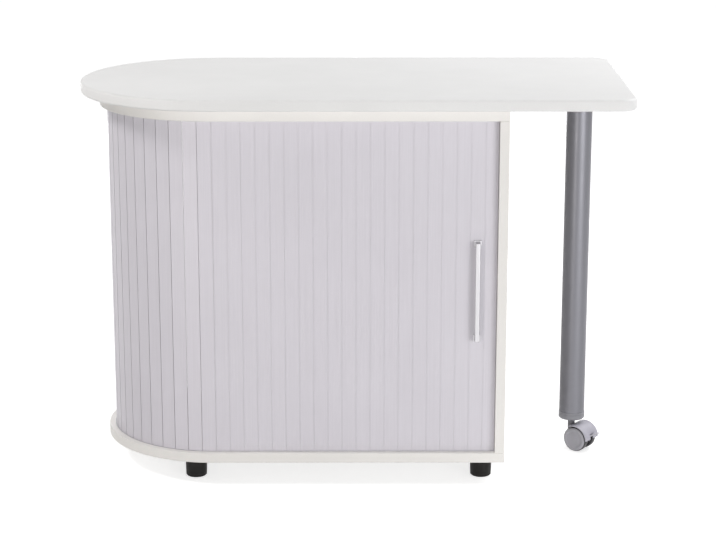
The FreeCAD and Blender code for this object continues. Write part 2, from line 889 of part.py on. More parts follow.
washer = new_body("Washer")
lathe(washer, "WasherTurned", [
    (bolt_hole, 0),
    (size("washer_dia") / 2, 0),
    (size("washer_dia") / 2, size("washer_thick")),
    (bolt_hole, size("washer_thick")),
])
washer_low = spigot_low - size("washer_thick")
keep(place(washer, pivot_x, 0.0, washer_low), "pivot_washer")
bolt_head = cylinder("PivotBoltHead", size("bolt_head_dia") / 2, size("bolt_head_high"),
                     pivot_x, 0.0, washer_low - size("bolt_head_high"))
bolt_shank = cylinder("PivotBoltShank", size("bolt_dia") / 2, size("washer_thick") + size("bolt_bite"),
                      pivot_x, 0.0, washer_low)
keep(fuse("PivotBolt", [bolt_head, bolt_shank]), "pivot_bolt")

# Table top: round end over the cabinet's, rounded corners at the leg's end, screw holes from below
top = new_body("TableTop")
outline = new_sketch(top, "TableOutline")
d_outline(outline, table_radius, table_right)
plate = pad(top, "TablePad", outline, size("table_thick"))


def corner_edge(edge):
    bounds = edge.BoundBox
    return bounds.ZLength > 1.0 and bounds.XMin > table_right.value - 1e-3


corners = round_edges(top, "TableCorners", plate, corner_edge, size("table_corner"))
rims = level_edge(0.0, size("table_thick").value)
round_edges(top, "TableArris", corners, rims, size("table_arris"))
spots = new_sketch(top, "TableScrewSpots")
circles(spots, [(pivot_x - table_centre_x + x, y) for x, y in PLATE_SPOTS], screw_hole)
circles(spots, [(leg_x - table_centre_x + x, y) for x, y in LEG_SPOTS], screw_hole)
pocket(top, "TableScrewHoles", spots, screw_deep, True)
keep(place(top, table_centre_x, 0.0, table_low), "table_top")

# Leg: a screwed plate with a plug, the tube and its end cap
tube_in = size("leg_dia") / 2 - size("leg_wall")
plug = tube_in - fit
mount = new_body("LegPlate")
lathe(mount, "LegPlateTurned", [
    (0, -size("leg_plate_plug")),
    (plug, -size("leg_plate_plug")),
    (plug, 0),
    (size("leg_plate_dia") / 2, 0),
    (size("leg_plate_dia") / 2, size("leg_plate_thick")),
    (0, size("leg_plate_thick")),
])
spots = new_sketch(mount, "LegPlateSpots", level=size("leg_plate_thick"))
circles(spots, LEG_SPOTS, screw_hole)
pocket(mount, "LegPlateHoles", spots, size("leg_plate_thick"))
mount_low = table_low - size("leg_plate_thick")
keep(place(mount, leg_x, 0.0, mount_low), "leg_plate")

leg_screws = []
for number, (x, y) in enumerate(LEG_SPOTS):
    head = cylinder("LegScrewHead%d" % number, size("screw_head_dia") / 2, size("screw_head_high"),
                    leg_x + x, y, mount_low - size("screw_head_high"))
    stem = cylinder("LegScrewShank%d" % number, size("screw_dia") / 2,
                    size("leg_plate_thick") + size("screw_bite"), leg_x + x, y, mount_low)
    leg_screws.append(fuse("LegScrew%d" % number, [head, stem]))
keep(group("LegScrews", leg_screws), "leg_screws")

cap_low = size("caster_height")
cap_top = cap_low + size("cap_height")
tube_long = mount_low - cap_top
tube_out = cylinder("LegTubeOuter", size("leg_dia") / 2, tube_long, leg_x, 0.0, cap_top)
tube_bore = cylinder("LegTubeBore", tube_in, tube_long + extra * 2, leg_x, 0.0, cap_top - extra)
keep(cut("LegTube", tube_out, tube_bore), "leg_tube")

stem_hole = size("stem_dia") / 2 + fit
cap_radius = size("cap_dia") / 2
ring_low = size("cap_ring_level") - size("cap_ring_width") / 2
ring_high = size("cap_ring_level") + size("cap_ring_width") / 2
cap = new_body("LegCap")
lathe(cap, "LegCapTurned", [
    (stem_hole, 0),
    (cap_radius - size("cap_bevel"), 0),
    (cap_radius, size("cap_bevel")),
    (cap_radius, ring_low),
    (cap_radius - size("cap_ring_depth"), ring_low),
    (cap_radius - size("cap_ring_depth"), ring_high),
    (cap_radius, ring_high),
    (cap_radius, size("cap_height")),
    (plug, size("cap_height")),
    (plug, size("cap_height") + size("cap_plug")),
    (0, size("cap_height") + size("cap_plug")),
    (0, size("stem_rise") + extra),
    (stem_hole, size("stem_rise") + extra),
])
keep(place(cap, leg_x, 0.0, cap_low), "leg_end_cap")

# Caster, built about the leg's axis with its trail along +X and turned into place afterwards
caster_turn = turned(Z_AXIS, -size("caster_turn").value)
axle_level = size("wheel_dia") / 2
trail = size("caster_trail")
web_half = size("wheel_space") / 2 - size("side_gap")
hood_half = size("wheel_space") / 2 + size("wheel_width")
hood_in = size("wheel_dia") / 2 + size("hood_gap")
hood_out = hood_in + size("hood_thick")
bridge_out = hood_in + size("hood_thick") / 2
on_side = turned(X_AXIS, 90)


def sideways(name, radius, half, x, z, start=None, sweep=None, side=None):
    """A cylinder, or a sector of one, lying along the axle; side is the Y level where it starts."""
    turn = on_side if start is None else on_side * turned(Z_AXIS, start)
    item = cylinder(name, radius, half * 2, x, half if side is None else side, z, turn)
    if sweep is not None:
        item.Angle = sweep
    return item


def in_place(item):
    return place(item, leg_x, 0.0, 0.0, caster_turn)


pin_slope = size("brake_pin_slope")
brake_x = trail + size("brake_pin_offset") * cosine(pin_slope)
brake_z = axle_level + size("brake_pin_offset") * sine(pin_slope)
cheek_half = size("cheek_thick") / 2
stem_low = cap_low - size("stem_drop")

web = sideways("CasterWeb", size("web_dia") / 2, web_half, trail, axle_level)
bridge = sideways("CasterBridge", bridge_out, web_half, trail, axle_level,
                  BRIDGE_START, HOOD_END - BRIDGE_START)
hood_solid = sideways("HoodSolid", hood_out, hood_half, trail, axle_level,
                      HOOD_START, HOOD_END - HOOD_START)
hood_core = sideways("HoodCore", hood_in, hood_half + extra, trail, axle_level)
hood = cut("HoodShell", hood_solid, hood_core)
lever_half = web_half - size("cheek_thick") - size("side_gap")
lever_gap = web_half - size("cheek_thick")
slot_outer = sideways("LeverSlotOuter", hood_out + extra, lever_gap, trail, axle_level,
                      HOOD_START - 5.0, BRIDGE_START - HOOD_START + 5.0)
slot_inner = sideways("LeverSlotInner", size("web_dia") / 2, lever_gap + extra, trail, axle_level)
lever_slot = cut("LeverSlot", slot_outer, slot_inner)
slotted_hood = cut("SlottedHood", hood, lever_slot)
cheeks = []
for name, start in (("Near", -web_half + size("cheek_thick")), ("Far", web_half)):
    cheeks.append(sideways("Cheek" + name, bridge_out, cheek_half, trail, axle_level,
                           CHEEK_START, BRIDGE_START - CHEEK_START, start))
boss = cylinder("CasterBoss", size("boss_dia") / 2, cap_low - size("side_gap") - axle_level,
                0.0, 0.0, axle_level)
shell = fuse("CasterShell", [web, bridge, slotted_hood, boss] + cheeks)
axle_bore = sideways("AxleBore", size("axle_dia") / 2 + fit, web_half + extra, trail, axle_level)
pin_bore = sideways("BrakePinBore", size("brake_pin_dia") / 2 + fit, web_half + extra, brake_x, brake_z)
stem_bore = cylinder("StemBore", stem_hole, size("stem_drop") + extra, 0.0, 0.0, stem_low)
bores = group("CasterBores", [axle_bore, pin_bore, stem_bore])
keep(in_place(cut("CasterBody", shell, bores)), "caster_body")

stem_long = size("stem_drop") + size("stem_rise")
stem = cylinder("CasterStem", size("stem_dia") / 2, stem_long, leg_x, 0.0, stem_low)
keep(stem, "caster_stem")
axle_half = size("wheel_space") / 2 + size("axle_bite")
axle = sideways("AxleRod", size("axle_dia") / 2, axle_half, trail, axle_level)
keep(in_place(group("Axle", [axle])), "caster_axle")
brake_rod = sideways("BrakeRod", size("brake_pin_dia") / 2, web_half, brake_x, brake_z)
keep(in_place(group("BrakePin", [brake_rod])), "brake_pin")

# Brake lever: a barrel on its pin and a pedal that rises outwards through the hood's slot
barrel = sideways("LeverBarrel", size("lever_barrel_dia") / 2, lever_half, brake_x, brake_z)
pedal = box("LeverPedal", size("lever_length"), lever_half * 2, size("lever_thick"))
slope = size("lever_slope")
half_thick = size("lever_thick") / 2
place(pedal, brake_x + half_thick * sine(slope), -lever_half, brake_z - half_thick * cosine(slope),
      turned(Y_AXIS, -slope.value))
lever_blank = fuse("LeverBlank", [barrel, pedal])
lever_bore = sideways("LeverBore", size("brake_pin_dia") / 2 + fit, lever_half + extra, brake_x, brake_z)
keep(in_place(cut("BrakeLever", lever_blank, lever_bore)), "brake_lever")

# Twin wheels with a dished outer face and a blind bore for the axle
wheel_radius = size("wheel_dia") / 2
wheel_bore = size("axle_dia") / 2 + fit
bevel = size("wheel_bevel")
dish = size("wheel_width") - size("wheel_dish")
WHEEL_OUTLINE = [
    (wheel_bore, 0),
    (wheel_radius - bevel / 2, 0),
    (wheel_radius, bevel / 2),
    (wheel_radius, size("wheel_width") - bevel),
    (wheel_radius - bevel, size("wheel_width")),
    (wheel_radius - size("wheel_rim"), size("wheel_width")),
    (wheel_radius - size("wheel_rim") - size("wheel_dish"), dish),
    (0, dish),
    (0, size("axle_bite") + extra),
    (wheel_bore, size("axle_bite") + extra),
]
turn_cos = cosine(size("caster_turn"))
turn_sin = sine(size("caster_turn"))
for label, side in (("front", -1), ("back", 1)):
    wheel = new_body("Wheel" + label.title())
    lathe(wheel, "Wheel%sTurned" % label.title(), WHEEL_OUTLINE)
    out = size("wheel_space") / 2 * side
    facing = turned(X_AXIS, -90 * side)
    keep(place(wheel, leg_x + trail * turn_cos + out * turn_sin, out * turn_cos - trail * turn_sin,
               axle_level, caster_turn * facing), "wheel_" + label)

# Everything is tested before anything is written
doc.recompute()
for item in doc.Objects:
    if "Invalid" in item.State or "Error" in item.State:
        raise RuntimeError("%s failed: %s" % (item.Name, item.State))
for item in parts:
    if item.Shape.isNull() or not item.Shape.isValid():
        raise RuntimeError("%s has no valid shape" % item.Label)
    if not item.Shape.Solids:
        raise RuntimeError("%s has no solid" % item.Label)

os.makedirs("parts", exist_ok=True)
for item in parts:
    item.Shape.exportStep(os.path.join("parts", item.Label + ".step"))
    print("%-20s solids %2d volume %10.1f" % (item.Label, len(item.Shape.Solids), item.Shape.Volume))
print(len(parts), "sub-parts, slat pitch %.3f" % pitch.value)
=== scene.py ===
import json
import math

import bmesh
import bpy
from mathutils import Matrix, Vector

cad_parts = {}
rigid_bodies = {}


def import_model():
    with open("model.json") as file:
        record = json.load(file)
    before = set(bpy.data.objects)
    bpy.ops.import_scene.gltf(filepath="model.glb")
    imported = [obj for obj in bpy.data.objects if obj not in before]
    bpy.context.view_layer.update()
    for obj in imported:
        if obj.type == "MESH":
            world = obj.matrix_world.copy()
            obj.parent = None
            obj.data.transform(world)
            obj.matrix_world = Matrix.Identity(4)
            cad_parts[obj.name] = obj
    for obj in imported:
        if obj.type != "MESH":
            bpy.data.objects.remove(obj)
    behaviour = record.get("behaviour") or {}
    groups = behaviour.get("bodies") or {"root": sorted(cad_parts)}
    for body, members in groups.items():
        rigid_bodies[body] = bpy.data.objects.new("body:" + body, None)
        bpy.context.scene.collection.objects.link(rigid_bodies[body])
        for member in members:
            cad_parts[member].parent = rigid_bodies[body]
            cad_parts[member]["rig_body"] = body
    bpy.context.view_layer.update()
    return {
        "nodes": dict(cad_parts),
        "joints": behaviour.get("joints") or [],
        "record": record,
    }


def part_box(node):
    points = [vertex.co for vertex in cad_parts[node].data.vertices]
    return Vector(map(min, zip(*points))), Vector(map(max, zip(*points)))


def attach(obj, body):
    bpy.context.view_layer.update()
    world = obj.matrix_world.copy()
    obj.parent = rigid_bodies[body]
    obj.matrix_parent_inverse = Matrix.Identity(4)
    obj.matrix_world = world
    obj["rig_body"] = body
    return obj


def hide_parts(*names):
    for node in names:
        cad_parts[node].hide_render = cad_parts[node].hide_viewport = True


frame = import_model()
nodes = frame["nodes"]
scene = bpy.context.scene
scene.view_settings.view_transform = "Standard"

MM = 0.001
# Points closer than this are one point, and points whose heights differ by less than this are level
SAME_POINT = 0.001 * MM
SAME_LEVEL = 0.01 * MM
# Edges sharper than this are rounded
SHARP_ANGLE = math.radians(50.0)


def srgb(red, green, blue):
    """A colour given as it looks on screen, 0 to 255, as linear light."""
    def linear(value):
        value /= 255.0
        return value / 12.92 if value <= 0.04045 else ((value + 0.055) / 1.055) ** 2.4
    return linear(red), linear(green), linear(blue), 1.0


# Sizes that the materials and the added pieces take from the frame
side_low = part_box("side_panel")[0]
leg_low, leg_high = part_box("leg_tube")
leg_mid = (leg_low + leg_high) / 2
joints = {joint["name"]: joint for joint in frame["joints"]}
wheel_front_mid = Vector(joints["wheel_front_roll"]["pos_m"])
wheel_back_mid = Vector(joints["wheel_back_roll"]["pos_m"])
AXLE_MID = (wheel_front_mid + wheel_back_mid) / 2
AXLE_WAY = (wheel_front_mid - wheel_back_mid).normalized()
WHEEL_OFFSET = (wheel_front_mid - AXLE_MID).length
WHEEL_RADIUS = AXLE_MID.z

# Finishes

# Nearly all of a noise's values lie between these
NOISE_LOW = 0.3
NOISE_HIGH = 0.7
# A tone that leaves a colour as it is
PLAIN = (1.0, 1.0, 1.0, 1.0)


class Finish:
    """A material whose nodes are added by short calls; places are metres in the part's own frame."""

    def __init__(self, name, colour, roughness, metallic=0.0, specular=0.5):
        self.material = bpy.data.materials.new(name)
        self.material.use_nodes = True
        self.tree = self.material.node_tree
        self.shader = self.tree.nodes["Principled BSDF"]
        self.put("Base Color", colour)
        self.put("Roughness", roughness)
        self.put("Metallic", metallic)
        self.put("Specular IOR Level", specular)
        self.place = self.add("ShaderNodeTexCoord").outputs["Object"]

    def add(self, kind, **settings):
        node = self.tree.nodes.new(kind)
        for name, value in settings.items():
            setattr(node, name, value)
        return node

    def link(self, source, target):
        self.tree.links.new(source, target)

    def put(self, socket, value):
        self.shader.inputs[socket].default_value = value

    def feed(self, socket, source):
        self.link(source, self.shader.inputs[socket])

    def math(self, operation, first, second=0.0):
        node = self.add("ShaderNodeMath", operation=operation)
        for socket, value in zip(node.inputs, (first, second)):
            if isinstance(value, (int, float)):
                socket.default_value = value
            else:
                self.link(value, socket)
        return node.outputs[0]

    def noise(self, size, detail=2.0, roughness=0.5, stretch=(1.0, 1.0, 1.0)):
        """Noise whose blotches are about size metres across, longer along an axis by its stretch."""
        mapping = self.add("ShaderNodeMapping")
        mapping.inputs["Scale"].default_value = [1.0 / (size * s) for s in stretch]
        self.link(self.place, mapping.inputs["Vector"])
        node = self.add("ShaderNodeTexNoise")
        node.inputs["Scale"].default_value = 1.0
        node.inputs["Detail"].default_value = detail
        node.inputs["Roughness"].default_value = roughness
        self.link(mapping.outputs["Vector"], node.inputs["Vector"])
        return node.outputs["Fac"]

    def span(self, source, low, high):
        """A number that goes from low to high with a noise."""
        node = self.add("ShaderNodeMapRange")
        node.inputs["From Min"].default_value = NOISE_LOW
        node.inputs["From Max"].default_value = NOISE_HIGH
        node.inputs["To Min"].default_value = low
        node.inputs["To Max"].default_value = high
        self.link(source, node.inputs["Value"])
        return node.outputs["Result"]

    def tint(self, source, low, high):
        """A colour that goes from low to high with a noise."""
        ramp = self.add("ShaderNodeValToRGB")
        ramp.color_ramp.elements[0].position = NOISE_LOW
        ramp.color_ramp.elements[1].position = NOISE_HIGH
        ramp.color_ramp.elements[0].color = low
        ramp.color_ramp.elements[1].color = high
        self.link(source, ramp.inputs["Fac"])
        return ramp.outputs["Color"]

    def multiply(self, first, second):
        node = self.add("ShaderNodeMix", data_type="RGBA", blend_type="MULTIPLY")
        node.inputs["Factor"].default_value = 1.0
        self.link(first, node.inputs["A"])
        self.link(second, node.inputs["B"])
        return node.outputs["Result"]

    def bump(self, source, height, strength):
        """Relief of the given height in metres, on top of any relief so far."""
        node = self.add("ShaderNodeBump")
        node.inputs["Strength"].default_value = strength
        node.inputs["Distance"].default_value = height
        self.link(source, node.inputs["Height"])
        last = self.shader.inputs["Normal"].links
        if last:
            self.link(last[0].from_socket, node.inputs["Normal"])
        self.feed("Normal", node.outputs["Normal"])

    def wear(self, low, high, size):
        """Uneven gloss in blotches of the given size."""
        self.feed("Roughness", self.span(self.noise(size, detail=3.0), low, high))


def shade(colour, factor):
    """A colour made darker or lighter by a factor."""
    return tuple(min(1.0, c * factor) for c in colour[:3]) + (1.0,)


# Where the caster's grey plastic starts: along the axle on the wheels, and out from it on the hood; short of
# these the plastic is painted black as shade in the gap between wheels and hood
CAP_START = WHEEL_OFFSET + 5.6 * MM
SKIN_START = WHEEL_RADIUS + 2.2 * MM


def faced_board(name, colour, sheen):
    """White melamine facing: faint clouds and grain in its tone, an uneven gloss and a fine pearl relief."""
    finish = Finish(name, colour, sheen, specular=0.3)
    cloud = finish.tint(finish.noise(size=0.24, detail=4.0), shade(colour, 0.972), shade(colour, 1.015))
    grain = finish.tint(finish.noise(size=0.0016, detail=2.0), shade(PLAIN, 0.975), PLAIN)
    finish.feed("Base Color", finish.multiply(cloud, grain))
    finish.wear(sheen - 0.07, sheen + 0.07, size=0.05)
    finish.bump(finish.noise(size=0.0012, detail=2.0), height=0.06 * MM, strength=0.35)
    return finish.material


def curtain_slats(name, colour):
    """Silver extruded plastic with fine lines along the slats."""
    finish = Finish(name, colour, roughness=0.5, metallic=0.15)
    drawn = finish.noise(size=0.0011, detail=3.0, roughness=0.6, stretch=(1.0, 1.0, 160.0))
    lines = finish.tint(drawn, shade(colour, 0.965), shade(colour, 1.03))
    cloud = finish.tint(finish.noise(size=0.12, detail=3.0), (0.975, 0.973, 0.975, 1.0), PLAIN)
    finish.feed("Base Color", finish.multiply(lines, cloud))
    finish.feed("Roughness", finish.span(drawn, 0.44, 0.56))
    finish.bump(drawn, height=0.05 * MM, strength=0.4)
    return finish.material


def moulded_plastic(name, colour, roughness, specular=0.5):
    """Moulded plastic with a fine spark-eroded skin."""
    finish = Finish(name, colour, roughness, specular=specular)
    cloud = finish.noise(size=0.02, detail=3.0)
    finish.feed("Base Color", finish.tint(cloud, shade(colour, 0.9), shade(colour, 1.08)))
    finish.wear(roughness - 0.08, roughness + 0.1, size=0.012)
    finish.bump(finish.noise(size=0.0009, detail=2.0), height=0.08 * MM, strength=0.45)
    return finish.material


def coated_tube(name, colour):
    """Grey powder coat on steel: a metallic flake and a fine orange peel."""
    finish = Finish(name, colour, roughness=0.4, metallic=0.55)
    flake = finish.noise(size=0.00045, detail=1.0)
    finish.feed("Base Color", finish.tint(flake, shade(colour, 0.94), shade(colour, 1.06)))
    finish.wear(0.34, 0.44, size=0.03)
    finish.bump(finish.noise(size=0.0022, detail=2.0), height=0.05 * MM, strength=0.4)
    return finish.material


def drawn_metal(name, colour, roughness, stretch):
    """Metal with fine lines along one axis."""
    finish = Finish(name, colour, roughness, metallic=1.0)
    lines = finish.noise(size=0.0005, detail=3.0, roughness=0.6, stretch=stretch)
    finish.feed("Base Color", finish.tint(lines, shade(colour, 0.92), shade(colour, 1.05)))
    finish.feed("Roughness", finish.span(lines, roughness - 0.08, roughness + 0.08))
    finish.bump(lines, height=0.02 * MM, strength=0.2)
    return finish.material


def caster_plastic(name, shown, painted_shade, part):
    """Grey plastic outside and black painted shade within: a wheel's grey cap and black tread, or the hood's
    grey skin and black lining, the black standing in for the shade in the gap between wheel and hood.
    """
    finish = Finish(name, shown, roughness=0.42)
    offset = finish.add("ShaderNodeVectorMath", operation="SUBTRACT")
    finish.link(finish.place, offset.inputs[0])
    offset.inputs[1].default_value = AXLE_MID
    along = finish.add("ShaderNodeVectorMath", operation="DOT_PRODUCT")
    finish.link(offset.outputs["Vector"], along.inputs[0])
    along.inputs[1].default_value = AXLE_WAY
    # 1 on the grey plastic, 0 where the caster is painted black as shade in the gap between wheels and hood
    if part == "wheel":
        outside = finish.math("GREATER_THAN", finish.math("ABSOLUTE", along.outputs["Value"]), CAP_START)
    else:
        sideways = finish.add("ShaderNodeVectorMath", operation="SCALE")
        sideways.inputs["Vector"].default_value = AXLE_WAY
        finish.link(along.outputs["Value"], sideways.inputs["Scale"])
        radial = finish.add("ShaderNodeVectorMath", operation="SUBTRACT")
        finish.link(offset.outputs["Vector"], radial.inputs[0])
        finish.link(sideways.outputs["Vector"], radial.inputs[1])
        radius = finish.add("ShaderNodeVectorMath", operation="LENGTH")
        finish.link(radial.outputs["Vector"], radius.inputs[0])
        outside = finish.math("GREATER_THAN", radius.outputs["Value"], SKIN_START)
    cloud = finish.noise(size=0.012, detail=3.0)
    mix = finish.add("ShaderNodeMix", data_type="RGBA")
    finish.link(outside, mix.inputs["Factor"])
    finish.link(finish.tint(cloud, shade(painted_shade, 0.85), shade(painted_shade, 1.2)), mix.inputs["A"])
    finish.link(finish.tint(cloud, shade(shown, 0.95), shade(shown, 1.05)), mix.inputs["B"])
    finish.feed("Base Color", mix.outputs["Result"])
    finish.wear(0.34, 0.5, size=0.006)
    finish.bump(finish.noise(size=0.0007, detail=2.0), height=0.06 * MM, strength=0.4)
    return finish.material


def beech(name, colour):
    """Plain beech with its grain upright, for the dowels."""
    finish = Finish(name, colour, roughness=0.6)
    rings = finish.noise(size=0.002, detail=3.0, roughness=0.6, stretch=(1.0, 1.0, 14.0))
    finish.feed("Base Color", finish.tint(rings, shade(colour, 0.78), colour))
    finish.bump(rings, height=0.1 * MM, strength=0.5)
    return finish.material


# Black painted on the caster's treads and hood linings as shade in the gap between wheels and hood
CASTER_PAINTED_SHADE = srgb(30, 29, 31)
materials = {
    "white_board": faced_board("white_board", srgb(240, 238, 235), 0.46),
    "table_board": faced_board("table_board", srgb(238, 238, 238), 0.52),
    "beech": beech("beech", srgb(214, 176, 128)),
    "track_plastic": moulded_plastic("track_plastic", srgb(198, 198, 200), 0.45),
    "black_plastic": moulded_plastic("black_plastic", srgb(25, 23, 22), 0.5, specular=0.2),
    "curtain_plastic": curtain_slats("curtain_plastic", srgb(207, 204, 211)),
    "handle_metal": drawn_metal("handle_metal", srgb(188, 187, 190), 0.45, (1.0, 1.0, 60.0)),
    "steel": drawn_metal("steel", srgb(196, 197, 200), 0.32, (1.0, 8.0, 1.0)),
    "grey_tube": coated_tube("grey_tube", srgb(119, 119, 125)),
    "grey_plastic": moulded_plastic("grey_plastic", srgb(166, 165, 173), 0.4),
    # Caster finishes with black painted shade in the gap between wheels and hood
    "caster_wheel_painted_shade": caster_plastic("caster_wheel_painted_shade", srgb(162, 161, 168), CASTER_PAINTED_SHADE, "wheel"),
    "caster_hood_painted_shade": caster_plastic("caster_hood_painted_shade", srgb(176, 174, 185), CASTER_PAINTED_SHADE, "hood"),
    "caster_frame_painted_shade": caster_plastic("caster_frame_painted_shade", srgb(110, 109, 114), CASTER_PAINTED_SHADE, "hood"),
    "cap_plastic": moulded_plastic("cap_plastic", srgb(136, 136, 142), 0.4),
    "lever_plastic": moulded_plastic("lever_plastic", srgb(198, 197, 204), 0.4),
}
# Nodes whose finish differs from that of their slot
OWN_FINISH = {
    "table_top": "table_board",
    "leg_end_cap": "cap_plastic",
    # The caster body and wheels take finishes with black painted shade between wheels and hood
    "caster_body": "caster_frame_painted_shade",
    "brake_lever": "lever_plastic",
    "wheel_front": "caster_wheel_painted_shade",
    "wheel_back": "caster_wheel_painted_shade",
}

for entry in frame["record"]["subparts"]:
    node = entry["node"]
    mesh = nodes[node].data
    mesh.materials.clear()
    mesh.materials.append(materials[OWN_FINISH.get(node, entry["material_slot"])])

# Soft edges on CAD nodes: seams within WELD_REACH are joined, faces that bend less than FLAT_ANGLE merged
WELD_REACH = 0.002 * MM
FLAT_ANGLE = math.radians(0.3)
SOFT_SEGMENTS = 2
SOFT_EDGES = (
    ("side_panel", 0.8 * MM),
    ("partition", 0.8 * MM),
    ("back_panel", 0.6 * MM),
    ("shelf", 0.8 * MM),
    ("handle", 0.6 * MM),
    ("leg_end_cap", 0.4 * MM),
    ("brake_lever", 0.5 * MM),
)


def soften(node, width):
    """Rounds a CAD node's sharp edges with modifiers; its own points stay as they are."""
    piece = nodes[node]
    weld = piece.modifiers.new("join_faces", "WELD")
    weld.merge_threshold = WELD_REACH
    flat = piece.modifiers.new("whole_faces", "DECIMATE")
    flat.decimate_type = "DISSOLVE"
    flat.angle_limit = FLAT_ANGLE
    bevel = piece.modifiers.new("soft_edges", "BEVEL")
    bevel.width = width
    bevel.segments = SOFT_SEGMENTS
    bevel.limit_method = "ANGLE"
    bevel.angle_limit = SHARP_ANGLE
    bevel.use_clamp_overlap = False
    piece.modifiers.new("even_shading", "WEIGHTED_NORMAL")


for node, width in SOFT_EDGES:
    soften(node, width)


# Added pieces

def add_piece(name, build, slot, body, finish=None):
    """A new piece from a bmesh, with its slot's finish or one of its own, riding on a body."""
    bmesh.ops.recalc_face_normals(build, faces=build.faces)
    mesh = bpy.data.meshes.new(name)
    build.to_mesh(mesh)
    build.free()
    mesh.materials.append(materials[finish or slot])
    piece = bpy.data.objects.new(name, mesh)
    scene.collection.objects.link(piece)
    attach(piece, body)
    return piece


# The largest share of an outline's side that the curve at one of its ends may take
CURVE_SHARE = 0.45


def rounded(outline, radius, steps=4):
    """The corners of an open outline of (out, along) points, each replaced by a short curve."""
    points = [Vector(outline[0])]
    for before, corner, after in zip(outline, outline[1:], outline[2:]):
        corner = Vector(corner)
        back = Vector(before) - corner
        ahead = Vector(after) - corner
        start = corner + back.normalized() * min(radius, back.length * CURVE_SHARE)
        end = corner + ahead.normalized() * min(radius, ahead.length * CURVE_SHARE)
        for step in range(steps + 1):
            t = step / steps
            points.append(start * (1 - t) ** 2 + corner * (2 * t * (1 - t)) + end * t ** 2)
    points.append(Vector(outline[-1]))
    return points


def turned(build, outline, centre, way, turns=72):
    """Adds a body turned about the line through centre; the outline starts and ends on that line."""
    across = way.orthogonal().normalized()
    upright = way.cross(across)
    rings = []
    for out, along in outline:
        if out < SAME_POINT:
            rings.append([build.verts.new(centre + way * along)] * turns)
            continue
        ring = []
        for step in range(turns):
            angle = 2 * math.pi * step / turns
            outward = across * math.cos(angle) + upright * math.sin(angle)
            ring.append(build.verts.new(centre + way * along + outward * out))
        rings.append(ring)
    for low, high in zip(rings, rings[1:]):
        for step in range(turns):
            after = (step + 1) % turns
            corners = [low[step], low[after], high[after], high[step]]
            build.faces.new(list(dict.fromkeys(corners))).smooth = True


def solids_of(node):
    """The separate solids of a CAD node, each as the list of its corner points."""
    mesh = bmesh.new()
    mesh.from_mesh(nodes[node].data)
    bmesh.ops.remove_doubles(mesh, verts=mesh.verts, dist=SAME_POINT)
    left = set(mesh.verts)
    found = []
    for start in mesh.verts:
        if start not in left:
            continue
        left.remove(start)
        stack = [start]
        solid = []
        while stack:
            vertex = stack.pop()
            solid.append(vertex.co.copy())
            for edge in vertex.link_edges:
                other = edge.other_vert(vertex)
                if other in left:
                    left.remove(other)
                    stack.append(other)
        found.append(solid)
    mesh.free()
    return found


class Slat:
    """Where a slat stands: its outer face's middle, the ways outward and onward in plan, and its size."""

    def __init__(self, points):
        self.low = min(p.z for p in points)
        self.high = max(p.z for p in points)
        plan = [p.to_2d() for p in points if p.z < self.low + SAME_LEVEL]
        pairs = [(a, b) for a in plan for b in plan]
        face = max(pairs, key=lambda pair: (pair[0] - pair[1]).length)
        centre = sum(plan, Vector((0.0, 0.0))) / len(plan)
        along = (face[1] - face[0]).normalized()
        self.middle = (face[0] + face[1]) / 2
        self.half = (face[1] - face[0]).length / 2
        self.outward = Vector((-along.y, along.x))
        if self.outward.dot(self.middle - centre) < 0:
            self.outward.negate()
        self.onward = Vector((self.outward.y, -self.outward.x))

    def at(self, across, depth, level):
        """A point given along the slat's width, inward from its outer face and in height."""
        spot = self.middle + self.onward * across - self.outward * depth
        return spot.x, spot.y, level


BOX_FACES = ((0, 1, 3, 2), (4, 6, 7, 5), (0, 4, 5, 1), (2, 3, 7, 6), (0, 2, 6, 4), (1, 5, 7, 3))


def add_box(mesh, slat, across, depth, levels):
    """Adds a box on a slat between two places along its width, two depths and two heights."""
    corners = [mesh.verts.new(slat.at(u, d, z)) for z in levels for d in depth for u in across]
    for face in BOX_FACES:
        mesh.faces.new([corners[n] for n in face])


# Curtain joints: a lip on each slat closes the gap to the next one, deeper where the curtain bends
LIP_THICK = 0.6 * MM
LIP_REACH = 1.25 * MM
LIP_ROOT = 1.2 * MM
STRAIGHT_DEPTH = 0.2 * MM
BENT_DEPTH = 0.35 * MM
LEAD_GAP = 0.7 * MM
# A slat faces straight to the front or the back where its outward way is this much along y
STRAIGHT = 0.999
# How much more y counts than x in the search for the last slat of the back run
BACK_WEIGHT = 100.0

slat_nodes = sorted(name for name in nodes if name.startswith("slats_"))
slats = {name: [Slat(points) for points in solids_of(name)] for name in slat_nodes}
every_slat = [slat for group in slats.values() for slat in group]
lead_slat = max(every_slat, key=lambda slat: slat.middle.x)
tail_slat = max(every_slat, key=lambda slat: slat.middle.x + BACK_WEIGHT * slat.middle.y)
for name, group in slats.items():
    mesh = bmesh.new()
    for slat in group:
        straight = abs(slat.outward.y) > STRAIGHT
        depth = STRAIGHT_DEPTH if straight else BENT_DEPTH
        layer = (depth, depth + LIP_THICK)
        levels = (slat.low, slat.high)
        if slat is lead_slat:
            gap = side_low.x - slat.middle.x - slat.half
            add_box(mesh, slat, (LEAD_GAP - gap - slat.half, LIP_ROOT - slat.half), layer, levels)
        if slat is not tail_slat:
            add_box(mesh, slat, (slat.half - LIP_ROOT, slat.half + LIP_REACH), layer, levels)
    add_piece(name.replace("slats", "lips"), mesh, "curtain_plastic", nodes[name]["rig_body"])

